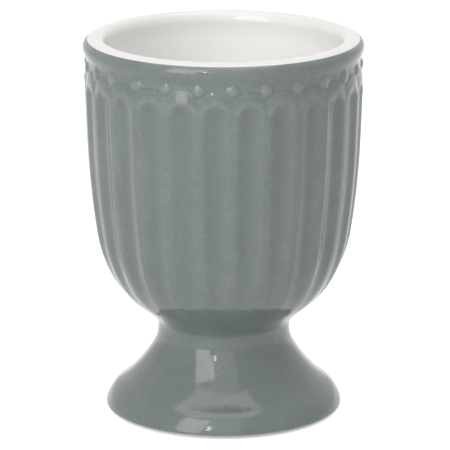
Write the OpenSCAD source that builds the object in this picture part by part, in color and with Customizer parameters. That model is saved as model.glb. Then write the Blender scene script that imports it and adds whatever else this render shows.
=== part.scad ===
// Egg cup: a fluted bowl on a hollow, flared foot, both of fired clay. Slip joins them at the neck,
// and three coats of glaze cover them. The origin is the middle of the standing ring, on the
// surface that the cup stands on, with +Z up.
//
// Every outline is a list of stations [radius, height, lean]. The lean is the way the outline runs
// at that point, in degrees from straight up, and it is positive where the outline runs outwards.
// Two arcs that meet smoothly join each station to the next.

/* [Whole cup] */
// Height from the standing ring to the top of the rim
height = 68.6; // [62:0.05:75]
// Thickness of each coat of glaze
glaze_t = 0.3; // [0.2:0.05:0.4]

/* [Foot] */
// Radius of the foot at its edge
foot_r = 21.4; // [20:0.1:23]
// How far the standing ring's outer edge stands in from that
ring_in = 1.1; // [0.9:0.1:1.6]
// Width of the flat, bare standing ring
ring_w = 2.5; // [1.8:0.1:3]
// Height of the bare edge of the standing ring under the glaze
wipe_h = 0.25; // [0.15:0.05:0.28]
// Height of that edge
foot_edge_h = 1.1; // [0.9:0.1:1.4]
// How far the foot's shoulder, where it is flattest, stands in from the edge
flare_in = 2.25; // [1.8:0.05:3]
// Height of the foot's shoulder
flare_h = 4.4; // [4:0.1:4.8]
// How much wider than the neck the foot is halfway up
stem_out = 2.65; // [2:0.05:3.2]
// Height halfway up the foot
stem_h = 9; // [8.6:0.1:9.5]
// Wall of the foot
foot_wall = 3.3; // [2.8:0.1:3.8]

/* [Neck] */
// Radius of the neck, between foot and bowl
neck_r = 11.95; // [11.2:0.05:12.6]
// Height of the neck, and of the foot's top edge
neck_h = 14.9; // [14:0.1:16]
// Thickness of the slip between foot and bowl
luting_t = 0.4; // [0.2:0.1:0.8]

/* [Bowl] */
// How much wider than the neck the bowl is where it leaves the neck
under_out = 3.4; // [2.8:0.05:4]
// Rise of that point above the neck
under_rise = 4.5; // [4:0.1:5]
// How far the top of the fluted wall stands in from the rim's widest
drum_in = 0.18; // [0:0.02:0.6]
// How far the hip, where the steep wall starts, stands in from the top of the fluted wall
hip_in = 1.92; // [1.2:0.02:2.6]
// Rise of the hip above the neck
hip_rise = 18.4; // [17:0.1:20]
// Wall of the bowl at its hip
bowl_wall = 3.4; // [2.8:0.1:4]

/* [Rim] */
// Radius of the rim at its widest, from which the bowl and its cavity take their radii
rim_r = 25.1; // [23:0.05:27]
// Height of the rim's rounded outer shoulder
rim_shoulder_h = 1.7; // [1.5:0.05:2]
// Width of the rim's rounded outer shoulder
rim_shoulder_w = 2.7; // [2.3:0.05:3]
// Height of the rounding from the rim's top into the bowl
rim_inside_h = 2; // [1.6:0.1:2.6]
// How far in from the rim's widest the white lining ends and the outer glaze begins
seam_in = 0.6; // [0.4:0.05:0.8]

/* [Egg socket] */
// How far in from the rim's widest the straight stretch lies that takes the egg
socket_in = 4.2; // [3.6:0.1:4.6]
// Depth of the lower end of that straight stretch under the rim's top
socket_depth = 14.6; // [12:0.1:17]
// Rise of the cavity's floor above the neck
floor_rise = 5.35; // [4:0.05:7]

/* [Relief] */
// Number of flutes round the bowl, and of beads over them
flutes = 26; // [22:1:28]
// Width of the ridge between two flutes
ridge_w = 1.05; // [0.8:0.05:1.6]
// Depth of a flute
flute_depth = 0.45; // [0.35:0.05:0.6]
// Depth of the centre of the flutes' round arches under the rim's top
arch_drop = 9.15; // [8.75:0.05:9.75]
// Width of the raised band over each arch
scallop_w = 1.6; // [1.4:0.1:1.7]
// Height of the scalloped edge over the bead band
relief = 0.45; // [0.35:0.05:0.6]
// Depth of the upper end of the bead band under the rim's top
band_drop = 4.2; // [3.75:0.05:4.55]
// Depth of the beads' centres under the rim's top
bead_drop = 4.8; // [4.55:0.05:5.05]
// Width of a bead
bead_w = 2.1; // [1.8:0.05:2.3]
// How far a bead stands out of the band
bead_h = 0.45; // [0.35:0.05:0.6]
// Depth that a flute's floor would have where the bowl meets the neck
flute_end_depth = 0.1; // [0.05:0.05:0.2]
// Rise of the centre of a flute's lower end above the neck
flute_end_rise = 9; // [8.5:0.1:11]
// How far a bead's rounding starts above the band
bead_seat = 0.05; // [0.04:0.01:0.1]

/* [Hidden] */

clay = [0.93, 0.91, 0.87];
slip = [0.86, 0.82, 0.76];
white = [0.93, 0.92, 0.90];
grey = [0.50, 0.54, 0.53];

// Leans of the outlines at their stations, in degrees
edge_lean = -17;
flare_lean = -54;
stem_lean = -37;
under_lean = 53;
hip_lean = 8.6;
drum_lean = 0.6;
lip_lean = 25;
level = 90;

// Most that an outline turns between two of its points, in degrees
step_turn = 6;
// Facets of a large circle, of a flute's round section and of a bead
fine = 360;
medium = 96;
coarse = 48;

// One overrun serves all cuts
over = 1;
// Angle of the front, where a bead and a ridge stand
front = -90;

// Radii that follow the foot's edge, the neck and the rim
ring_r = foot_r - ring_in;
flare_r = foot_r - flare_in;
stem_r = neck_r + stem_out;
under_r = neck_r + under_out;
drum_r = rim_r - drum_in;
hip_r = drum_r - hip_in;
seam_r = rim_r - seam_in;
socket_r = rim_r - socket_in;

// Flutes and beads
pitch = 360 / flutes;
arch_z = height - arch_drop;
bead_z = height - bead_drop;
bead_ball_r = bead_w * bead_w / (8 * bead_h) + bead_h / 2;
flute_w = flute_width(drum_r);

// The scallops meet in dips under the beads, and the plain wall ends a little lower
scallop_r = flute_w / 2 + scallop_w;
half_pitch_w = drum_r * sin(pitch / 2);
dip_rise = sqrt(pow(scallop_r - glaze_t, 2) - pow(half_pitch_w, 2));
dip_share = 0.85;
drum_top = arch_z + dip_share * dip_rise;
band_r = drum_r - relief;

// Stations of the outside, from the standing ring to the top of the scallops
under_at = [under_r, neck_h + under_rise, under_lean];
hip_at = [hip_r, neck_h + hip_rise, hip_lean];
drum_at = [drum_r, arch_z + scallop_r + over, drum_lean];
flare_at = [flare_r, flare_h, flare_lean];
stem_at = [stem_r, stem_h, stem_lean];
neck_at = [neck_r, neck_h, 0];
outside = [
    [ring_r, 0, level], [foot_r, foot_edge_h, edge_lean], flare_at, stem_at, neck_at,
    under_at, hip_at, drum_at
];

// Stations of the bead band and of the rim above it
middle_share = 0.5;
band_z = height - band_drop;
rim_z = height - rim_shoulder_h;
crown_r = rim_r - rim_shoulder_w;
rim = [
    [band_r, drum_top - over, 0],
    [band_r, band_z, 0],
    [band_r + middle_share * (rim_r - band_r), band_z + middle_share * (rim_z - band_z), lip_lean],
    [rim_r, rim_z, 0],
    [crown_r, height, -level]
];

// Stations of the cavity, from its floor to the crown of the rim
cavity = [
    [0, neck_h + floor_rise, level],
    moved_in(hip_at, bowl_wall),
    [socket_r, height - socket_depth, 0],
    [socket_r, height - rim_inside_h, 0],
    [crown_r, height, level]
];

// Stations of the hollow under the foot, from the standing ring to the underside of the bowl
bowl_z = neck_h + luting_t;
hollow = [
    [ring_r - ring_w, 0, 0],
    moved_in(flare_at, foot_wall),
    moved_in(stem_at, foot_wall),
    moved_in(neck_at, foot_wall),
    [neck_r - foot_wall, bowl_z, 0]
];

// Stations of the flutes' floors
floors = [
    moved_in(under_at, flute_end_depth), moved_in(hip_at, flute_depth), moved_in(drum_at, flute_depth)
];
// A flute's lower end lies on the first arc of the wall above the neck
flute_end_z = neck_h + flute_end_rise;
flute_end_r = on_arc(under_at, middle(under_at, hip_at), flute_end_z)[0];

// Width of a flute where the wall has radius r
function flute_width(r) = 2 * PI * r / flutes - ridge_w;

// Way of an outline that leans by a, and the way out of it
function way(a) = [sin(a), cos(a)];
function out_of(a) = [cos(a), -sin(a)];
function place(s) = [s[0], s[1]];

// A station moved by t into the region that its outline bounds
function moved_in(s, t) = let (p = place(s) - t * out_of(s[2])) [p[0], p[1], s[2]];

// The station at which the two arcs between stations a and b meet
function middle(a, b) =
    let (
        v = place(b) - place(a),
        ta = way(a[2]),
        tb = way(b[2]),
        spread = 2 * (1 - ta * tb),
        along = v * (ta + tb),
        reach = spread > 0
            ? (sqrt(along * along + spread * (v * v)) - along) / spread
            : (v * v) / (4 * (v * tb)),
        p = (place(a) + place(b) + reach * (ta - tb)) / 2,
        chord = p - place(a)
    )
    [p[0], p[1], 2 * atan2(chord[0], chord[1]) - a[2]];

// The ends of all arcs of an outline
function arc_ends(stations) = [
    for (i = [0 : len(stations) - 1])
        each i < len(stations) - 1 ? [stations[i], middle(stations[i], stations[i + 1])] : [stations[i]]
];

// The arc from station a to station b: its turn, radius and centre, and its station at height z
function turn(a, b) = a[2] - b[2];
function arc_r(a, b) = norm(place(b) - place(a)) / (2 * sin(abs(turn(a, b)) / 2));
function arc_centre(a, b) = place(a) - sign(turn(a, b)) * arc_r(a, b) * out_of(a[2]);
function on_arc(a, b, z) =
    let (c = arc_centre(a, b), lean = asin((c[1] - z) / arc_r(a, b)))
    concat(c + arc_r(a, b) * out_of(lean), [lean]);

// Points along the arc from station a to station b, without the last one
function arc_points(a, b) =
    let (bend = turn(a, b), steps = max(2, ceil(abs(bend) / step_turn)))
    [
        for (i = [0 : steps - 1])
            abs(bend) > 0
                ? arc_centre(a, b) + sign(bend) * arc_r(a, b) * out_of(a[2] - bend * i / steps)
                : place(a) + (place(b) - place(a)) * i / steps
    ];

// Region between the axis and an outline of arcs that is moved in by t
module region(stations, t) {
    ends = [for (s = arc_ends(stations)) moved_in(s, t)];
    last = len(ends) - 1;
    foot = ends[0][0] > 0 ? [[0, ends[0][1]]] : [];
    bends = [for (i = [0 : last - 1]) each arc_points(ends[i], ends[i + 1])];
    polygon(concat(foot, bends, [place(ends[last]), [0, ends[last][1]]]));
}

// Everything within radius r, from height z0 up to height z1
module slice(z0, z1, r = rim_r + over) {
    translate([0, z0]) square([r, z1 - z0]);
}

module turned() {
    rotate_extrude($fn = fine) children();
}

module round_the_bowl(first) {
    for (i = [0 : flutes - 1]) rotate([0, 0, first + i * pitch]) children();
}

// The outside without its relief, moved in by t, from height z up
module plain_outside(t, z) {
    intersection() {
        region(outside, t);
        slice(z, drum_top);
    }
    intersection() {
        region(rim, t);
        slice(drum_top, height);
    }
}

// The scallops stand on the plain wall, over the arches
module scallops(t) {
    intersection() {
        turned() intersection() {
            region(outside, t);
            translate([band_r - over, drum_top]) square([relief + 2 * over, scallop_r]);
        }
        round_the_bowl(front + pitch / 2)
            translate([band_r - 2 * over, 0, arch_z])
                rotate([0, 90, 0]) cylinder(r = scallop_r - t, h = relief + 4 * over, $fn = medium);
    }
}

// Front view of a flute that is t wider all round, standing on its height
module flute_shape(t) {
    low_w = flute_width(flute_end_r) / 2 + t;
    hip_w = flute_width(hip_r) / 2 + t;
    top_w = flute_w / 2 + t;
    // The sides bend a little above the hip, clear of the edge that the wall has there
    bend_z = neck_h + hip_rise + over;
    polygon([
        [-low_w, flute_end_z], [low_w, flute_end_z], [hip_w, bend_z],
        [top_w, arch_z], [-top_w, arch_z], [-hip_w, bend_z]
    ]);
    translate([0, flute_end_z]) circle(r = low_w, $fn = medium);
    translate([0, arch_z]) circle(r = top_w, $fn = medium);
}

// The cutters of all flutes: slots that stop at the floors
module flute_cutters(t) {
    difference() {
        round_the_bowl(front + pitch / 2)
            translate([under_r - 2 * over, 0, 0]) rotate([90, 0, 90])
                linear_extrude(rim_r - under_r + 4 * over) flute_shape(t);
        turned() region(floors, t);
    }
}

// A bead under a coat of thickness t: a short stem with a round cap, standing on the radius
module bead(t) {
    base_r = sqrt(pow(bead_ball_r - t, 2) - pow(bead_ball_r - bead_h - t, 2));
    translate([band_r + bead_seat, 0, bead_z]) rotate([0, 90, 0]) rotate_extrude($fn = coarse) {
        intersection() {
            translate([0, bead_h - bead_ball_r]) circle(r = bead_ball_r - t, $fn = coarse);
            translate([0, -t]) square([base_r, bead_h]);
        }
        translate([0, -t - over]) square([base_r, over]);
    }
}

// The whole outside moved in by t, from height z up
module outside_form(t, z) {
    difference() {
        union() {
            turned() plain_outside(t, z);
            scallops(t);
        }
        flute_cutters(t);
    }
    round_the_bowl(front) bead(t);
}

module bowl_body() {
    color(clay) difference() {
        outside_form(glaze_t, bowl_z);
        turned() {
            region(cavity, -glaze_t);
            slice(height - glaze_t, height, crown_r);
        }
    }
}

module foot_body() {
    color(clay) turned() difference() {
        intersection() {
            union() {
                region(outside, glaze_t);
                slice(0, foot_edge_h, ring_r);
            }
            slice(0, neck_h);
        }
        region(hollow, -glaze_t);
    }
}

module luting_slip() {
    color(slip) turned() difference() {
        intersection() {
            region(outside, glaze_t);
            slice(neck_h, bowl_z);
        }
        region(hollow, -glaze_t);
    }
}

module lining_glaze() {
    color(white) turned() difference() {
        union() {
            intersection() {
                region(cavity, -glaze_t);
                slice(0, rim_z);
            }
            difference() {
                intersection() {
                    region(rim, 0);
                    slice(rim_z, height, seam_r);
                }
                difference() {
                    region(rim, glaze_t);
                    region(cavity, -glaze_t);
                }
            }
        }
        region(cavity, 0);
    }
}

module outer_glaze() {
    color(grey) difference() {
        outside_form(0, wipe_h);
        outside_form(glaze_t, 0);
        turned() {
            slice(0, foot_edge_h, ring_r);
            slice(rim_z, height + over, seam_r);
        }
    }
}

module hollow_glaze() {
    color(grey) turned() difference() {
        region(hollow, -glaze_t);
        intersection() {
            region(hollow, 0);
            slice(0, bowl_z - glaze_t);
        }
        slice(0, wipe_h);
    }
}

bowl_body();
foot_body();
luting_slip();
lining_glaze();
outer_glaze();
hollow_glaze();
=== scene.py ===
# %% [markdown]
# A glazed egg cup, built in Blender around its CAD model.
# The real object is one fired pot: a fluted bowl on a hollow, flared foot, under a grey glaze
# outside and a white one inside. The CAD model has its sizes, its clay and its coats of glaze.
# This lesson keeps the CAD clay and makes the three coats again with a softer relief, because
# glaze rounds every edge that it runs over, and a CAD cut is sharp.

# %% Load the CAD model and keep its box
import math

import bpy
import numpy as np
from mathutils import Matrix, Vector


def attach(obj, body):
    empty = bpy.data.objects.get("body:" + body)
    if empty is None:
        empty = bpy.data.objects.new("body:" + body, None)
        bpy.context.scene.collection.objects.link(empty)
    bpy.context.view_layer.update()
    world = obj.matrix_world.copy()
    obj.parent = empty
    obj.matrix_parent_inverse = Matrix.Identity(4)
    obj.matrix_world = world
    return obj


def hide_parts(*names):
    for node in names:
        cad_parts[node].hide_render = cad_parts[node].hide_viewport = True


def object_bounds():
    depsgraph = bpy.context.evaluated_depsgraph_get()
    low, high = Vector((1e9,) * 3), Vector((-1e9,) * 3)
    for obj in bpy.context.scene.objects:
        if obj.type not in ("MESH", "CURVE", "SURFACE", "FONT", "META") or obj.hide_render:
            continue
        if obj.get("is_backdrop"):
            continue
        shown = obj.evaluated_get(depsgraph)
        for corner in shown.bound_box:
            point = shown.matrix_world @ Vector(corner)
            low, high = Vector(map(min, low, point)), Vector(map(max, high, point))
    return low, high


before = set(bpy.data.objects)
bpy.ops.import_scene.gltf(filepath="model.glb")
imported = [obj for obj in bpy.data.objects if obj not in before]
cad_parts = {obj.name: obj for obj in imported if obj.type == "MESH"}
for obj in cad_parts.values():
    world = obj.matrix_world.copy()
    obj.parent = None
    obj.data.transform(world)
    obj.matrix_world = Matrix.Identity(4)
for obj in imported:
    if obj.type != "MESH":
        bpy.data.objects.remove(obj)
cad_box = [list(corner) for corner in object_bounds()]
print("CAD box, m:", [[round(v, 5) for v in corner] for corner in cad_box])

# %% [markdown]
# The outline of the cup was drawn as stations: a radius, a height and a lean, in millimetres
# and degrees. The lean is the way that the outline runs there, from straight up, and positive
# outwards. Two arcs that meet smoothly join each station to the next. A curve drawn by eye
# would do for a picture, but the coats have to lie on the clay to a tenth of a millimetre, so
# the same stations and the same arcs are worked out here.

# %% Two arcs between stations
MM = 0.001
TINY = 1e-6  # a length in millimetres or a turn in degrees that counts as none
CLOSE = 0.05  # distance between the points of an outline, in millimetres


def way(lean):
    """The direction in which the outline runs."""
    return np.array([math.sin(math.radians(lean)), math.cos(math.radians(lean))])


def out_of(lean):
    """The direction that the outline faces."""
    return np.array([math.cos(math.radians(lean)), -math.sin(math.radians(lean))])


def place(station):
    return np.array(station[:2], float)


def moved_in(station, t):
    return [*(place(station) - t * out_of(station[2])), station[2]]


def middle(a, b):
    """The station at which the two arcs from a to b meet."""
    v, ta, tb = place(b) - place(a), way(a[2]), way(b[2])
    spread, along = 2 * (1 - ta @ tb), v @ (ta + tb)
    if spread > TINY:
        reach = (math.sqrt(along**2 + spread * (v @ v)) - along) / spread
    else:
        reach = (v @ v) / (4 * (v @ tb))
    p = (place(a) + place(b) + reach * (ta - tb)) / 2
    chord = p - place(a)
    return [*p, 2 * math.degrees(math.atan2(*chord)) - a[2]]


def arc(a, b):
    """Points [radius, height, lean] along the arc from a to b, without the last one."""
    turn, chord = a[2] - b[2], np.linalg.norm(place(b) - place(a))
    count = max(2, math.ceil(chord / CLOSE))
    if abs(turn) < TINY:
        return [[*(place(a) + (place(b) - place(a)) * i / count), a[2]] for i in range(count)]
    side = math.copysign(chord / (2 * math.sin(math.radians(abs(turn) / 2))), turn)
    centre = place(a) - side * out_of(a[2])
    leans = [a[2] - turn * i / count for i in range(count)]
    return [[*(centre + side * out_of(lean)), lean] for lean in leans]


def outline(stations):
    """Close points along all arcs of an outline."""
    points = []
    for a, b in zip(stations, stations[1:]):
        half = middle(a, b)
        points += arc(a, half) + arc(half, b)
    return np.array(points + [stations[-1]])


# %% [markdown]
# These are the sizes of the cup in millimetres. They are the CAD source's own, but for two: the
# seam between the white and the grey lies 0.15 mm further in, where the photograph has it, and
# the rim's radius is 0.015 mm less, so that the coat's facets stay inside the CAD model's box.

# %% Sizes of the cup
HEIGHT, GLAZE = 68.6, 0.3
RING_R, RING_W, WIPE = 20.3, 2.5, 0.25  # the bare standing ring, and how high it is wiped
FOOT_WALL, HOLLOW_TOP = 3.3, 15.3
BOWL_WALL, CAVITY_Z = 3.4, 20.25
SOCKET_R, SOCKET_Z, SOCKET_TOP = 20.9, 54, 66.6
FLUTES, RIDGE, ARCH_Z, DRUM_R = 26, 1.05, 59.45, 24.92
SCALLOP_R = math.pi * DRUM_R / FLUTES - RIDGE / 2 + 1.6  # half a flute and the edge's width
BAND_R, BAND_LOW, BAND_Z = 24.47, 60, 64.4
RIM_R, RIM_Z, CROWN_R, SEAM_R = 25.085, 66.9, 22.4, 24.35
print(f"{FLUTES} flutes, scallops of radius {SCALLOP_R:.2f} mm")

# %% [markdown]
# Here are the stations themselves. The outside runs from the standing ring up the flared foot,
# in to the neck, out under the bowl and up the steep fluted wall. The bead band and the rolled
# rim stand above it. The cavity for the egg and the hollow of the foot have outlines too.

# %% The cup's outlines
flare, stem, neck = [19.15, 4.4, -54], [14.6, 9, -37], [11.95, 14.9, 0]
under, hip, drum = [15.35, 19.4, 53], [23, 33.3, 8.6], [DRUM_R, ARCH_Z + SCALLOP_R + 1, 0.6]
OUTSIDE = [[RING_R, 0, 90], [21.4, 1.1, -17], flare, stem, neck, under, hip, drum]
lip = [(BAND_R + RIM_R) / 2, (BAND_Z + RIM_Z) / 2, 25]
RIM = [[BAND_R, BAND_LOW, 0], [BAND_R, BAND_Z, 0], lip, [RIM_R, RIM_Z, 0]]
RIM.append([CROWN_R, HEIGHT, -90])
CAVITY = [[0, CAVITY_Z, 90], moved_in(hip, BOWL_WALL)]
CAVITY += [[SOCKET_R, SOCKET_Z, 0], [SOCKET_R, SOCKET_TOP, 0], [CROWN_R, HEIGHT, 90]]
HOLLOW = [[RING_R - RING_W, 0, 0]] + [moved_in(s, FOOT_WALL) for s in (flare, stem, neck)]
HOLLOW.append([neck[0] - FOOT_WALL, HOLLOW_TOP, 0])
wall, rim, cavity, hollow = (outline(o) for o in (OUTSIDE, RIM, CAVITY, HOLLOW))
print("points: wall", len(wall), "rim", len(rim), "cavity", len(cavity), "hollow", len(hollow))

# %% [markdown]
# A coat of glaze is a thin shell turned round the axis, so its mesh is a stack of rings. A
# lathe tool could spin it, but the bead band needs many small faces and the foot needs few.
# So each ring says how it divides one pitch of the pattern, and neighbours that divide it
# in different ways are joined by triangles. The stack closes on itself, so a shell has no
# open edge, and a ring of no radius is one point on the axis.

# %% Rings joined into a closed shell
PITCH = 2 * math.pi / FLUTES
FRONT = -math.pi / 2


def shares(count, crowd=0.0):
    """Where the columns stand in one pitch, from ridge to ridge, crowded towards the ridges."""
    t = np.arange(count) / count
    return t - crowd * np.sin(2 * math.pi * t) / (2 * math.pi)


def joined(low, high, base_low, base_high):
    """The faces between two rings of columns, low and high, whose first points are given."""
    n, m = len(low), len(high)
    i = j = 0
    faces = []
    alike = n == m and np.allclose(low, high)
    low_ends, high_ends = np.append(low, 1), np.append(high, 1)
    while i < n or j < m:
        if alike:
            faces.append([("l", i), ("l", i + 1), ("h", j + 1), ("h", j)])
            i, j = i + 1, j + 1
        elif j == m or (i < n and low_ends[i + 1] <= high_ends[j + 1]):
            faces.append([("l", i), ("l", i + 1), ("h", j)])
            i += 1
        else:
            faces.append([("l", i), ("h", j + 1), ("h", j)])
            j += 1
    start = {"l": (base_low, n), "h": (base_high, m)}
    for sector in range(FLUTES):
        for face in faces:
            yield [
                start[ring][0] + (sector * start[ring][1] + k) % (FLUTES * start[ring][1])
                for ring, k in face
            ]


def shell(name, rings):
    """A closed mesh from rings of [columns, radius, height, recess] in millimetres."""
    points, recesses, first = [], [], []
    for columns, radius, height, recess in rings:
        first.append(len(points))
        if radius < TINY:
            points.append((0, 0, height * MM))
            recesses.append(0)
            continue
        for sector in range(FLUTES):
            for angle in FRONT + PITCH * (sector + columns):
                x, y = radius * MM * math.cos(angle), radius * MM * math.sin(angle)
                points.append((x, y, height * MM))
                recesses.append(recess * MM)
    faces = []
    for a in range(len(rings)):
        b = (a + 1) % len(rings)
        pole_a, pole_b = rings[a][1] < TINY, rings[b][1] < TINY
        if pole_a and pole_b:
            continue
        if pole_a or pole_b:
            ring, pole = (b, a) if pole_a else (a, b)
            count = FLUTES * len(rings[ring][0])
            for k in range(count):
                edge = [first[ring] + k, first[ring] + (k + 1) % count]
                faces.append((edge[::-1] if pole_a else edge) + [first[pole]])
        else:
            faces += joined(rings[a][0], rings[b][0], first[a], first[b])
    mesh = bpy.data.meshes.new(name)
    mesh.from_pydata(points, [], faces)
    mesh.attributes.new("recess", "FLOAT", "POINT").data.foreach_set("value", recesses)
    mesh.shade_smooth()
    obj = bpy.data.objects.new(name, mesh)
    bpy.context.scene.collection.objects.link(obj)
    print(f"{name}: {len(rings)} rings, {len(points)} points")
    return obj


# %% [markdown]
# How far apart the rings stand, and how many columns they have, follows the height. A loop
# over plain heights would do, but a short table of bands is easier to read and to change: each
# band has its top and its value, and the first band that a height is under gives the value.

# %% Rows by height
TOP = math.inf
SHORT = 0.4  # a last gap under this share of a step joins the one before it


def below(*bands):
    """A rule by height: the value of the first band (top, value) that it is under."""
    return lambda z: next(value for top, value in bands if z < top)


def rows(path, *bands):
    """Points of a close path, as far apart as the bands say, with both of its ends."""
    step = below(*bands)
    lengths = np.append(0, np.cumsum(np.hypot(*np.diff(path[:, :2], axis=0).T)))
    at, kept = 0.0, []
    while at < lengths[-1]:
        height = np.interp(at, lengths, path[:, 1])
        kept.append(at)
        at += step(height)
    if lengths[-1] - kept[-1] < SHORT * step(path[-1, 1]) and len(kept) > 1:
        kept.pop()
    kept.append(lengths[-1])
    return np.stack([np.interp(kept, lengths, path[:, k]) for k in (0, 1)], axis=1)


def offset(path, t):
    """A path moved in by t, away from the side that its outline faces."""
    return np.array([moved_in(p, t) for p in path])


def cut(path, low, high):
    """The part of a path from the height low to under the height high."""
    return path[(path[:, 1] >= low) & (path[:, 1] < high)]


# %% [markdown]
# The grey coat outside: its outer side follows the outside outline up to the bead band and
# then the rim to the seam with the white lining. Its inner side lies on the clay. The wall
# below the scallops stands 0.45 mm further out than the band above them, so the rows there
# carry that set-back with them as an attribute called recess, and the relief decides at each
# point which of the two levels the surface has.

# %% Rings of the outer coat
SCALLOP_TOP = ARCH_Z + SCALLOP_R + 0.2  # here the wall's rows end and the band's begin
RECESS_Z = 55  # no row under this height reaches the scallops
PLAIN = shares(8)  # columns of a ring that has no relief
OUTER_STEPS = ((15, 0.55), (26, 0.6), (57, 1.1), (65.2, 0.21), (TOP, 0.3))
outer_columns = below(
    (15.5, PLAIN), (22, shares(16)), (56.6, shares(20, 0.45)), (65.6, shares(28, 0.25)),
    (TOP, shares(16)),
)


def recess_at(z, past_band):
    return max(past_band, 0) if z > RECESS_Z else 0


def up_to_seam(path):
    """The part of a rim path from the scallops' top to the seam."""
    keep = (path[:, 1] > SCALLOP_TOP) & ((path[:, 1] < RIM_Z) | (path[:, 0] > SEAM_R))
    return path[keep]


wall_rows = rows(cut(wall, WIPE, SCALLOP_TOP), *OUTER_STEPS)
rim_rows = rows(up_to_seam(rim), *OUTER_STEPS)
rings = [[outer_columns(z), r, z, recess_at(z, r - BAND_R)] for r, z in wall_rows]
rings += [[outer_columns(z), r, z, 0] for r, z in rim_rows]

back_rim = rows(up_to_seam(offset(rim, GLAZE)), (TOP, 0.6))[::-1]
back_wall = cut(offset(wall, GLAZE), -TOP, SCALLOP_TOP)
back_wall = rows(back_wall, (16, 0.9), (56, 1.8), (TOP, 0.9))[::-1]
rings += [[PLAIN, r, z, 0] for r, z in back_rim]
rings += [[PLAIN, r, z, recess_at(z, r - BAND_R + GLAZE)] for r, z in back_wall]
rings.append([PLAIN, RING_R, WIPE, 0])
coat = shell("outer_coat", rings)

# %% [markdown]
# Both the relief and the finishes are sums on values that change over a surface. Blender
# writes such sums as Math nodes, one for each sign, which is slow to build and hard to read.
# So one small class wraps a socket, and Python's own signs add the nodes. Any other node
# comes from one method, which takes its type, its settings and what goes into its sockets.


# %% A socket that can be added, scaled and mixed
class Wire:
    """An output socket of a node tree, on which Python's operators add Math nodes."""

    def __init__(self, tree, socket=None):
        self.tree, self.socket = tree, socket

    def node(self, kind, settings=None, out=0, **values):
        """A new node: its settings, then the values or wires that its sockets get.

        A socket goes by its name with _ for a space, or by n and its number.
        """
        made = self.tree.nodes.new(kind)
        for name, value in (settings or {}).items():
            setattr(made, name, value)
        for name, value in values.items():
            key = int(name[1:]) if name[1:].isdigit() else name.replace("_", " ")
            if isinstance(value, Wire):
                self.tree.links.new(value.socket, made.inputs[key])
            else:
                made.inputs[key].default_value = value
        return Wire(self.tree, made.outputs[out])

    def math(self, operation, *others):
        values = {f"n{k}": v for k, v in enumerate((self, *others))}
        return self.node("ShaderNodeMath", {"operation": operation}, **values)

    def __add__(self, other):
        return self.math("ADD", other)

    def __sub__(self, other):
        return self.math("SUBTRACT", other)

    def __mul__(self, other):
        return self.math("MULTIPLY", other)

    def __truediv__(self, other):
        return self.math("DIVIDE", other)

    def __pow__(self, other):
        return self.math("POWER", other)

    def turned_round(self, operation, other):
        return self.node("ShaderNodeMath", {"operation": operation}, n0=other, n1=self)

    def __radd__(self, other):
        return self.turned_round("ADD", other)

    def __rsub__(self, other):
        return self.turned_round("SUBTRACT", other)

    def __rmul__(self, other):
        return self.turned_round("MULTIPLY", other)

    def __rtruediv__(self, other):
        return self.turned_round("DIVIDE", other)

    def rise(self, low, high):
        """0 below low, 1 above high and a smooth rise between them."""
        return self.node(
            "ShaderNodeMapRange",
            {"interpolation_type": "SMOOTHSTEP"},
            Value=self, From_Min=low, From_Max=high, To_Min=0.0, To_Max=1.0,
        )

    def between(self, up, down):
        """1 between two ranges and 0 outside: it rises over the one and falls over the other."""
        return self.rise(*up) - self.rise(*down)

    def least(self, other):
        return self.math("MINIMUM", other)

    def most(self, other):
        return self.math("MAXIMUM", other)

    def above_zero(self, soft):
        """The value where it is above zero and none below, with a rounding of size soft."""
        return (self + (self * self + soft * soft).math("SQRT")) * 0.5


def axes(wire):
    """The three parts of a vector as wires."""
    parts = wire.node("ShaderNodeSeparateXYZ", n0=wire).socket.node
    return [Wire(wire.tree, parts.outputs[k]) for k in range(3)]


def length(a, b):
    return (a * a + b * b).math("SQRT")


# %% [markdown]
# The relief is moulded in the real cup: 26 shallow flutes with round arches, a scalloped edge
# that echoes the arches, and a bead in each dip between two scallops. It could be carved by
# 26 cutters, as in the CAD model, but a boolean leaves sharp edges, and glaze has none. Here
# Geometry Nodes work out for each point of the turned coat how far in or out it has to go.
# The sizes that a potter would measure are the tree's own inputs.

# %% Sizes of the relief
INPUTS = {  # name: (kind of socket, value in metres or a plain number)
    "Flutes": ("NodeSocketInt", FLUTES),
    "Ridge Width": ("NodeSocketFloat", RIDGE * MM),
    "Flute Depth": ("NodeSocketFloat", 0.62 * MM),
    "Flute Start": ("NodeSocketFloat", 17.0 * MM),
    "Flute Full": ("NodeSocketFloat", 35.0 * MM),
    "Arch Height": ("NodeSocketFloat", ARCH_Z * MM),
    "Flute Top Drop": ("NodeSocketFloat", 0.3 * MM),
    "Scallop Radius": ("NodeSocketFloat", SCALLOP_R * MM),
    "Dip Height": ("NodeSocketFloat", 61.4 * MM),
    "Bead Height": ("NodeSocketFloat", 63.8 * MM),
    "Bead Ball": ("NodeSocketFloat", 2.0 * MM),
    "Bead Relief": ("NodeSocketFloat", 0.42 * MM),
}
print("relief, mm:", {name: round(v / MM, 2) for name, (_, v) in INPUTS.items() if v < 1})

# %% [markdown]
# A flute is a round trough between two ridges. Its depth follows the distance from its middle
# line, as a share of its half width. Over the arch's centre, which the trough has a little
# lower than the scallop, the distance is taken from that centre, so the upper end is round.
# Lower down the flute fades out towards the neck. A power of 1.5 lets it meet the ridges softly.

# %% The flute
FLUTE_SOFT, FLUTE_POWER = 0.05, 1.5


def flute_form(size, z, radius, across):
    """The share of a flute's full depth at each point, without and with the fade."""
    over_centre = (z - size["Arch Height"] + size["Flute Top Drop"]).most(0.0)
    half = radius * math.pi / size["Flutes"] - size["Ridge Width"] * 0.5
    share = length(across, over_centre) / half
    round_floor = (1 - share * share).above_zero(FLUTE_SOFT) ** FLUTE_POWER
    return round_floor, round_floor * z.rise(size["Flute Start"], size["Flute Full"])


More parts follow.
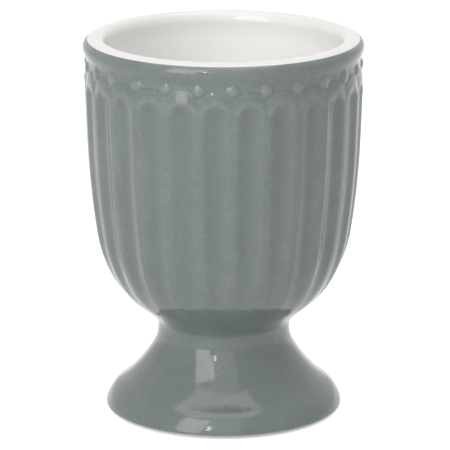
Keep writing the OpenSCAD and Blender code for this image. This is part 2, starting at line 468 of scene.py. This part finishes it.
# %% [markdown]
# The scalloped edge is round about the arch's centre, with a level dip between two scallops.
# All forms near it depend on the distance past that edge, which is negative on the wall. In
# the real glaze the wall swells to a low crest, slopes off and ends in a small step. The crest
# is paler, thin glaze with a painted highlight, and the groove at the foot of the step is
# darker, painted shade, and the relief notes both for later.

# %% The scalloped edge
BLEND = 0.7 * MM  # rounding where a scallop meets the dip
CREST, CREST_SHARE = (-3.9 * MM, -2.2 * MM), 0.2
SLOPE_FROM, SLOPE_LENGTH, SLOPE_SHARE, SLOPE_SOFT = 2.3, 2.0, 0.75, 0.2  # lengths in mm
STEP, STEP_SHARE = (-0.35 * MM, 0.35 * MM), 0.45
# Where the crest is paler: thin glaze with a painted highlight.
CREST_SHEEN = (-2.6 * MM, -1.9 * MM), (-1.7 * MM, -0.9 * MM)
NEAR_ARCH = (-0.6 * MM, 1.0 * MM)
# Where the groove at the step's foot gets its painted shade.
UNDER_STEP_SHADE = (-0.15 * MM, 0.2 * MM), (0.25 * MM, 0.8 * MM)


def edge_form(size, z, across, round_floor):
    """The share of the recess that a point takes, the pale crest with its painted highlight, and
    the painted shade at the step's foot.
    """
    above_arch = z - size["Arch Height"]
    past_scallop = length(across, above_arch.most(0.0)) - size["Scallop Radius"]
    edge = past_scallop.math("SMOOTH_MIN", z - size["Dip Height"], BLEND)
    slope = (edge / MM + SLOPE_FROM).above_zero(SLOPE_SOFT).least(SLOPE_LENGTH)
    slope = slope * (SLOPE_SHARE / SLOPE_LENGTH)
    on_band = slope - edge.rise(*CREST) * CREST_SHARE + edge.rise(*STEP) * STEP_SHARE
    # The crest near an arch is paler: thin glaze with a painted highlight.
    crest_sheen = edge.between(*CREST_SHEEN) * (1 - round_floor) * above_arch.rise(*NEAR_ARCH)
    return on_band, crest_sheen, edge.between(*UNDER_STEP_SHADE)


# %% [markdown]
# A bead is the cap of a ball that stands out of the band. Its foot runs softly into the band,
# as glaze fills the corner, and there the colour is a little darker: deeper glaze, and painted
# shade in the corner.

# %% The bead
BEAD_SOFT = 0.14 * MM
# Where the bead's foot is darker: pooled glaze and painted shade.
BEAD_FOOT = (-0.3 * MM, -0.02 * MM), (-0.02 * MM, BEAD_SOFT)


def bead_form(size, z, across):
    """How far a point stands out in a bead, and where the bead's foot is."""
    up, ball = z - size["Bead Height"], size["Bead Ball"]
    apart = across * across + up * up
    cap = (ball * ball - apart).most(0.0).math("SQRT") - ball + size["Bead Relief"]
    return cap.above_zero(BEAD_SOFT), cap.between(*BEAD_FOOT)


# %% [markdown]
# The tree puts the three forms together. Each point's angle is wrapped into one pitch, once
# about the nearest ridge and once about the nearest flute, so one rule makes all 26 of each.
# The points move towards the axis or away from it, and their height stays. What the finishes
# need later is stored on the points by name: how hollow a place is, how proud it is, with the
# crests' painted highlight, and where glaze pools, with painted shade in corners and grooves.

# %% The relief as Geometry Nodes
# The crest's share carries its painted highlight; the bead foot's share, pooled glaze and
# painted shade.
CREST_SHEEN_SHARE, BEAD_FOOT_POOL_SHADE = 0.55, 0.5  # how much the crest and a bead's foot count
ON_WALL = (0.1 * MM, 0.3 * MM)  # recess of the rows that belong to the wall
NO_RADIUS = 1e-4  # metres, keeps the axis out of a division


def relief_tree(material):
    tree = bpy.data.node_groups.new("Flutes, scallops and beads", "GeometryNodeTree")
    tree.interface.new_socket("Geometry", in_out="INPUT", socket_type="NodeSocketGeometry")
    for name, (kind, value) in INPUTS.items():
        tree.interface.new_socket(name, in_out="INPUT", socket_type=kind).default_value = value
    tree.interface.new_socket("Geometry", in_out="OUTPUT", socket_type="NodeSocketGeometry")
    given = tree.nodes.new("NodeGroupInput")
    size = {s.name: Wire(tree, s) for s in given.outputs if s.name}
    start = Wire(tree)

    x, y, z = axes(start.node("GeometryNodeInputPosition"))
    radius = length(x, y)
    angle = y.math("ARCTAN2", x) - FRONT
    pitch = 2 * math.pi / size["Flutes"]
    to_ridge = angle.math("WRAP", pitch * 0.5, pitch * -0.5) * radius
    to_flute = (angle - pitch * 0.5).math("WRAP", pitch * 0.5, pitch * -0.5) * radius
    recess = start.node("GeometryNodeInputNamedAttribute", {"data_type": "FLOAT"}, Name="recess")

    round_floor, hollowed = flute_form(size, z, radius, to_flute)
    on_band, crest_sheen, under_step_shade = edge_form(size, z, to_flute, round_floor)
    bead, bead_foot = bead_form(size, z, to_ridge)
    turn = (bead - hollowed * size["Flute Depth"] - recess * on_band) / radius.most(NO_RADIUS)
    shift = start.node("ShaderNodeCombineXYZ", X=x * turn, Y=y * turn)
    form = start.node("GeometryNodeSetPosition", Geometry=size["Geometry"], Offset=shift)
    marks = {
        "hollowed": hollowed,
        # Beads and crests are paler: thin glaze, with a painted highlight.
        "proud_sheen": (bead / size["Bead Relief"]).least(1.0).most(crest_sheen * CREST_SHEEN_SHARE),
        "pooled_shade": (bead_foot * BEAD_FOOT_POOL_SHADE).most(under_step_shade * recess.rise(*ON_WALL)),
    }
    kind = {"data_type": "FLOAT", "domain": "POINT"}
    for name, value in marks.items():
        form = form.node(
            "GeometryNodeStoreNamedAttribute", kind, Geometry=form, Name=name, Value=value
        )
    form = form.node("GeometryNodeRealizeInstances", Geometry=form)
    form = form.node("GeometryNodeSetMaterial", Geometry=form, Material=material)
    tree.links.new(form.socket, tree.nodes.new("NodeGroupOutput").inputs[0])
    print("relief tree:", len(tree.nodes), "nodes")
    return tree


# %% [markdown]
# The finishes come next. Every one is a Principled shader whose colour, gloss and bump come
# from noise on Object coordinates, so that it sits on the cup from all sides. Pictures wrapped
# round the cup could do it as well, but noise has no seam and no limit to its detail.

# %% Helpers for finishes
OBJECT, NUMBER = 3, 2  # outputs: Object of Texture Coordinate, the number of Attribute


def finish(name):
    """A new material, its Principled node and a wire to start from."""
    material = bpy.data.materials.new(name)
    material.use_nodes = True
    shader = next(n for n in material.node_tree.nodes if n.type == "BSDF_PRINCIPLED")
    return material, shader, Wire(material.node_tree)


def settle(shader, **constants):
    """Sets constants of a shader by socket name."""
    for name, value in constants.items():
        shader.inputs[name.replace("_", " ")].default_value = value


def feed(shader, **wires):
    """Links wires to a shader by socket name."""
    for name, wire in wires.items():
        wire.tree.links.new(wire.socket, shader.inputs[name.replace("_", " ")])


def linear(colour):
    """A colour read as 0 to 255 on screen, as the shader wants it."""
    steps = [v / 255 for v in colour]
    return [*(v / 12.92 if v <= 0.04045 else ((v + 0.055) / 1.055) ** 2.4 for v in steps), 1]


def noise(start, scale, detail=2.0, roughness=0.5):
    """Noise about zero on Object coordinates, with scale in waves per metre."""
    spot = start.node("ShaderNodeTexCoord", out=OBJECT)
    return start.node(
        "ShaderNodeTexNoise", Vector=spot, Scale=scale, Detail=detail, Roughness=roughness
    ) - 0.5


def mixed(amount, low, high):
    """The colour low where amount is 0 and high where it is 1."""
    return amount.node(
        "ShaderNodeMix", {"data_type": "RGBA"}, out=2, n0=amount, n6=low, n7=high
    )


def height_of(start):
    return axes(start.node("ShaderNodeTexCoord", out=OBJECT))[2]


# %% [markdown]
# Glaze is glass over clay: a body colour that light reaches through a thin clear layer, and a
# smooth surface that mirrors the room. A low roughness alone looks like polished plastic. Real
# glaze is never quite level, so a faint bump bends the reflections and the gloss drifts.

# %% What both glazes share
GLASS_IOR, GLOSS_WAVES, GLOSS_DRIFT = 1.5, 300.0, 0.05


def glassy(shader, start, wave, strength, distance, roughness):
    normal = start.node("ShaderNodeBump", Strength=strength, Distance=distance, Height=wave)
    feed(shader, Normal=normal, Roughness=roughness + noise(start, GLOSS_WAVES) * GLOSS_DRIFT)
    settle(shader, IOR=GLASS_IOR)


# %% [markdown]
# The grey glaze is deeper in colour where it is thick and paler where it is thin. So its
# colour is one sum of a depth: clouds and a fine grain everywhere, and more in the flutes,
# where glaze gathered. Painted shade adds to it in the groove under the scalloped step, round
# the beads' feet, where glaze pools too, and on the foot, which lies in the bowl's shadow. It
# is less on beads and crests, where the glaze is thin and a painted highlight is added. The
# lowest edge of the foot is almost white, thin wiped glaze with a painted glow of the floor
# under it, and a few pits are left by bubbles.

# %% The grey glaze
PALE_GREY, DEEP_GREY = (133, 141, 141), (112, 121, 121)
# The foot's lowest edge is almost white: thin wiped glaze with a painted glow of the floor.
WIPED_GLOW_GREY, PIT_GREY = (222, 225, 224), (92, 97, 97)
CLOUDS, MOTTLE, GRAIN, PITS = 90.0, 420.0, 2600.0, 200.0  # waves per metre
WAVES, RIPPLES, RIPPLE_SHARE = 160.0, 700.0, 0.25
# The foot's share darkens the foot as painted shadow of the bowl.
MIDDLE, GRAIN_SHARE, FOOT_SHADOW_SHARE = 0.62, 0.9, 0.2
# Hollows deepen the glaze; pooled places add painted shade; proud places add a painted
# highlight.
MARK_SHARES = {"hollowed": 0.25, "pooled_shade": 0.4, "proud_sheen": -0.5}
FOOT_SHADOW_TOP, WIPED_GLOW_EDGE = (8 * MM, 18 * MM), (0.45 * MM, 0.95 * MM)
PIT_EDGE = (0.018, 0.032)  # in cells of the pits' pattern


def grey_glaze():
    material, shader, start = finish("grey glaze")
    height = height_of(start)
    clouds = noise(start, CLOUDS) * 0.5 + noise(start, MOTTLE, detail=3.0) * 0.5
    depth = clouds + noise(start, GRAIN) * GRAIN_SHARE + MIDDLE
    # Painted shadow: the foot, which the bowl overhangs, is darker below 8 to 18 mm.
    depth = depth + (1 - height.rise(*FOOT_SHADOW_TOP)) * FOOT_SHADOW_SHARE
    for name, share in MARK_SHARES.items():
        mark = start.node("ShaderNodeAttribute", {"attribute_name": name}, out=NUMBER)
        depth = depth + mark * share
    tone = mixed(depth.rise(0.0, 1.0), linear(PALE_GREY), linear(DEEP_GREY))
    # Painted glow of the floor on the foot's lowest edge, over thin wiped glaze.
    tone = mixed(1 - height.rise(*WIPED_GLOW_EDGE), tone, linear(WIPED_GLOW_GREY))
    spot = start.node("ShaderNodeTexCoord", out=OBJECT)
    pits = start.node("ShaderNodeTexVoronoi", Vector=spot, Scale=PITS)
    tone = mixed(1 - pits.rise(*PIT_EDGE), tone, linear(PIT_GREY))
    feed(shader, Base_Color=tone)
    wave = noise(start, WAVES) + noise(start, RIPPLES, detail=1.0) * RIPPLE_SHARE
    glassy(shader, start, wave, strength=0.2, distance=0.12 * MM, roughness=0.11)
    return material


# %% [markdown]
# The white glaze covers its clay fully, so its colour hardly drifts. It is a shade darker on
# the rim, a painted shade on the top, where the lamps light it most.

# %% The white glaze
WHITES, RIM_SHADE_WHITE = ((254, 253, 251), (251, 250, 248)), (238, 237, 234)
WHITE_CLOUDS, WHITE_MOTTLE, WHITE_WAVES = 120.0, 900.0, 180.0  # waves per metre
ON_RIM = (63 * MM, 67.5 * MM)


def white_glaze():
    material, shader, start = finish("white glaze")
    drift = noise(start, WHITE_CLOUDS) * 0.7 + noise(start, WHITE_MOTTLE, detail=3.0) * 0.3
    tone = mixed((drift + 0.5).rise(0.0, 1.0), *(linear(white) for white in WHITES))
    # Painted shade: the rim's top, lit most by the lamps, is a shade darker.
    tone = mixed(height_of(start).rise(*ON_RIM), tone, linear(RIM_SHADE_WHITE))
    feed(shader, Base_Color=tone)
    wave = noise(start, WHITE_WAVES)
    glassy(shader, start, wave, strength=0.15, distance=0.1 * MM, roughness=0.12)
    return material


# %% [markdown]
# Bare clay shows on the standing ring alone. Fired clay is matte and finely speckled, with a
# tooth that can be felt, so it gets fine strong noise in its colour and its bump.

# %% Clay and slip
SPECKS, TOOTH, PATCHES = 1500.0, 3500.0, 800.0  # waves per metre
MATTE, MATTE_DRIFT = 0.82, 0.15


def bare_clay(name, pale, dark):
    material, shader, start = finish(name)
    speck = noise(start, SPECKS, detail=4.0, roughness=0.7) + 0.5
    tone = mixed(speck.rise(0.2, 0.8), linear(dark), linear(pale))
    tooth = noise(start, TOOTH, detail=4.0)
    bump = start.node("ShaderNodeBump", Strength=0.5, Distance=0.05 * MM, Height=tooth)
    rough = MATTE + noise(start, PATCHES) * MATTE_DRIFT
    feed(shader, Base_Color=tone, Normal=bump, Roughness=rough)
    return material


GREY, WHITE = grey_glaze(), white_glaze()
CLAY = bare_clay("fired clay", pale=(236, 229, 216), dark=(219, 208, 190))
SLIP = bare_clay("fired slip", pale=(224, 214, 198), dark=(204, 190, 170))
print("finishes:", [m.name for m in (GREY, WHITE, CLAY, SLIP)])

# %% [markdown]
# Every coat is handed over in the same way. Its faces have to point outwards, which the sign
# of its volume tells: a shell that is inside out has a negative one. Edges that turn by more
# than 40 degrees are marked sharp: they are the ends of the coat. Then it rides on the cup's
# one body and replaces the CAD node of the same coat.

# %% A finished coat
SHARP = math.radians(40)


def signed_volume(mesh):
    """The volume of a closed mesh, negative if it is inside out, and its triangles."""
    mesh.calc_loop_triangles()
    co = np.empty(len(mesh.vertices) * 3)
    mesh.vertices.foreach_get("co", co)
    tri = np.empty(len(mesh.loop_triangles) * 3, int)
    mesh.loop_triangles.foreach_get("vertices", tri)
    a, b, c = co.reshape(-1, 3)[tri.reshape(-1, 3)].transpose(1, 0, 2)
    return np.einsum("ij,ij->", a, np.cross(b, c)) / 6, len(tri) // 3


def finished(obj, material, node):
    """Turns a shell's faces outwards, marks its sharp ends, gives it its finish
    and sets it on the cup's body in place of its CAD node.
    """
    volume, faces = signed_volume(obj.data)
    if volume < 0:
        obj.data.flip_normals()
    obj.data.set_sharp_from_angle(angle=SHARP)
    obj.data.materials.clear()
    obj.data.materials.append(material)
    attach(obj, "root")
    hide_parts(node)
    print(f"{obj.name}: {faces} triangles, {abs(volume) / MM**3:.0f} mm3")


# %% [markdown]
# Now the relief is applied to the outer coat. The modifier's sizes are set by each socket's
# own identifier, then the evaluated result becomes a plain mesh, and the modifier goes.

# %% The outer coat gets its relief
tree = relief_tree(GREY)
relief = coat.modifiers.new("Relief", "NODES")
relief.node_group = tree
for item in tree.interface.items_tree:
    if item.in_out == "INPUT" and item.name in INPUTS:
        relief[item.identifier] = INPUTS[item.name][1]
graph = bpy.context.evaluated_depsgraph_get()
carved = bpy.data.meshes.new_from_object(coat.evaluated_get(graph))
coat.modifiers.remove(relief)
coat.data = carved
finished(coat, GREY, "outer_glaze")

# %% [markdown]
# The white lining: it covers the cavity and the top of the rim down to the seam. Its under
# side lies on the clay, so its rings go up the cavity and over the rim, then back.


# %% The lining
def in_to_seam(path):
    """The part of a rim path from the crown to the seam."""
    return path[(path[:, 0] <= SEAM_R) & (path[:, 1] > RIM_Z)]


seen = [rows(cavity, (26, 0.5), (60, 1.1), (TOP, 0.5))]
seen.append(rows(in_to_seam(rim[::-1]), (TOP, 0.2))[1:])
hidden = [rows(in_to_seam(offset(rim, GLAZE)), (TOP, 0.4))]
hidden.append(rows(offset(cavity, -GLAZE), (60, 1.6), (TOP, 0.5))[::-1][1:])
hidden[-1][-1, 0] = 0
lining = shell("lining", [[PLAIN, r, z, 0] for r, z in np.vstack(seen + hidden)])
finished(lining, WHITE, "lining_glaze")

# %% [markdown]
# The coat inside the hollow foot: it is seen only from below. Glaze gathers in the corner
# under the bowl, so the corner between wall and ceiling is rounded.

# %% The coat of the hollow
CEILING, FILLET, CORNER_ROWS = HOLLOW_TOP - GLAZE, 0.9, 8
inner_wall = cut(hollow, WIPE, CEILING - FILLET)
corner_r = inner_wall[-1, 0]
corner = [
    [corner_r - FILLET + FILLET * math.cos(a), CEILING - FILLET + FILLET * math.sin(a)]
    for a in np.linspace(0, math.pi / 2, CORNER_ROWS + 1)[1:]
]
seen = [rows(inner_wall, (TOP, 0.6)), corner, [[corner_r / 2, CEILING], [0, CEILING]]]
inner_back = cut(offset(hollow, -GLAZE), WIPE, TOP)
hidden = [[[0, HOLLOW_TOP], [corner_r / 2, HOLLOW_TOP]], rows(inner_back, (TOP, 1.0))[::-1]]
hollow_coat = shell("hollow_coat", [[PLAIN, r, z, 0] for r, z in np.vstack(seen + hidden)])
finished(hollow_coat, GREY, "hollow_glaze")

# %% [markdown]
# The clay itself stays as the CAD has it, because only the standing ring shows. It and the
# slip get their finish through their own material slots.

# %% Finishes of the CAD clay
for node, material in (("bowl_body", CLAY), ("foot_body", CLAY), ("luting_slip", SLIP)):
    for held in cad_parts[node].material_slots:
        held.material = material
    print(node, "wears", material.name)

# %% [markdown]
# The stage is a plain white floor in a white room. The photograph's background is pure
# white, so the floor adds a little light of its own for the camera and for reflections,
# which keeps the cup's soft shadow on it. More lamps would do it too, but they would wash
# out the glaze.

# %% Floor
REACH, GLOW = 3.0, 0.6  # metres to each side, and the floor's own light
corners = [(-REACH, -REACH, 0), (REACH, -REACH, 0), (REACH, REACH, 0), (-REACH, REACH, 0)]
floor_mesh = bpy.data.meshes.new("floor")
floor_mesh.from_pydata(corners, [], [(0, 1, 2, 3)])
floor = bpy.data.objects.new("floor", floor_mesh)
bpy.context.scene.collection.objects.link(floor)
floor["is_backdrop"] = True


def rays(start, *kinds):
    """1 for rays of the kinds named and 0 for all others."""
    path = start.node("ShaderNodeLightPath").socket.node
    found = [Wire(start.tree, path.outputs[f"Is {kind} Ray"]) for kind in kinds]
    seen_rays = found[0]
    for more in found[1:]:
        seen_rays = seen_rays.most(more)
    return seen_rays


material, shader, start = finish("white floor")
settle(shader, Base_Color=(0.8, 0.8, 0.8, 1), Roughness=0.6, Specular_IOR_Level=0.2)
strength = rays(start, "Camera", "Glossy") * GLOW
glow = start.node("ShaderNodeEmission", Color=(1, 1, 1, 1), Strength=strength)
both = start.node("ShaderNodeAddShader", n0=Wire(start.tree, shader.outputs[0]), n1=glow)
output = next(n for n in start.tree.nodes if n.type == "OUTPUT_MATERIAL")
start.tree.links.new(both.socket, output.inputs["Surface"])
floor_mesh.materials.append(material)
print("floor:", 2 * REACH, "m wide")

# %% [markdown]
# The room is white for the camera and in reflections. On the cup it sheds only a fifth of
# that light, because the lamps have to draw the flutes, and a bright room would flatten them.

# %% Room
ROOM = 0.2  # the room's light on the cup, where 1 is a white background
world = bpy.data.worlds.new("white room")
bpy.context.scene.world = world
world.use_nodes = True
start = Wire(world.node_tree)
room = next(n for n in world.node_tree.nodes if n.type == "BACKGROUND")
settle(room, Color=(1, 1, 1, 1))
feed(room, Strength=rays(start, "Camera", "Glossy", "Transmission") * (1 - ROOM) + ROOM)
print("room light on the cup:", ROOM)

# %% [markdown]
# The photograph's reflections tell where its lamps stood. The foot shows two upright panels
# side by side, a bright one and a dim one, and a small bright spot where they meet. The same
# spot comes back on the rim's lip and on the arches. So two tall soft boxes stand in front on
# the left, and a small bare lamp hangs between them. The pale patch on the foot's slope is a
# soft box overhead. Most of the light on the cup comes from the bright box, so the left of the
# cup is the lighter side and the flutes show. A far box behind on the right lights the left
# of the cavity. The photograph shows no mirror image of it, so reflections leave it out.


# %% Lamps
AIM = Vector((0, 0, 0.04))


def lamp(name, round_left, up, width, height, brightness, aside=0.0, mirrored=True):
    """A soft box a metre from the cup and aimed at it, by its angles and its brightness."""
    side, lift = math.radians(round_left), math.radians(up)
    level = math.cos(lift)
    way_out = Vector((-math.sin(side) * level, -math.cos(side) * level, math.sin(lift)))
    data = bpy.data.lights.new(name, "AREA")
    data.shape, data.size, data.size_y = "RECTANGLE", width, height
    data.energy = brightness * math.pi * width * height
    obj = bpy.data.objects.new(name, data)
    obj.location = AIM + way_out + Vector((aside, 0, 0))
    obj.rotation_euler = (-way_out).to_track_quat("-Z", "Y").to_euler()
    obj.visible_glossy = mirrored
    bpy.context.scene.collection.objects.link(obj)
    print(f"{name}: {data.energy:.2f} W")


lamp("bright soft box", round_left=38, up=28, width=0.43, height=0.98, brightness=3.3)
lamp("dim soft box", round_left=3.5, up=35, width=0.6, height=1.2, brightness=0.75)
lamp("bare lamp", round_left=19, up=27, width=0.04, height=0.26, brightness=16.0)
lamp(
    "overhead soft box",
    round_left=0, up=89.5, width=0.94, height=0.88, brightness=1.6, aside=-0.065,
)
lamp(
    "far soft box",
    round_left=-125, up=32, width=0.8, height=0.8, brightness=1.6, mirrored=False,
)

# %% [markdown]
# The camera stands where the photograph's stood. Its place and its lens were worked out from
# the rim's ellipse, the foot and the beads, for a picture of 450 by 450 pixels: 550 mm in
# front of the cup's axis, 185 mm over the table and looking down by 15 degrees, with a long
# lens. It stands a little to the left, by 4 degrees round the cup.

# %% Camera
PIXELS, FOCAL, SENSOR = 450, 3157.9, 36  # the picture's width and the lens in pixels, mm
AWAY, EYE_Z = 0.54995, 0.18464
ROUND, DOWN, ASIDE = math.radians(-3.78), math.radians(15.354), math.radians(0.027)
view = bpy.data.cameras.new("camera")
view.sensor_width, view.lens = SENSOR, SENSOR * FOCAL / PIXELS
camera = bpy.data.objects.new("camera", view)
camera.location = (AWAY * math.sin(ROUND), -AWAY * math.cos(ROUND), EYE_Z)
camera.rotation_euler = (math.pi / 2 - DOWN, 0, ROUND - ASIDE)
bpy.context.scene.collection.objects.link(camera)
bpy.context.scene.camera = camera
bpy.context.scene.view_settings.view_transform = "Standard"
print(f"camera: lens {view.lens:.0f} mm on a sensor {SENSOR} mm wide")

# %% [markdown]
# Last, the size of what is shown is printed, as the CAD model's size was at the start. The
# coats may not grow the cup.

# %% Sizes and finish
scene_box = [list(corner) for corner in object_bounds()]
print("scene box, m:", [[round(v, 5) for v in corner] for corner in scene_box])
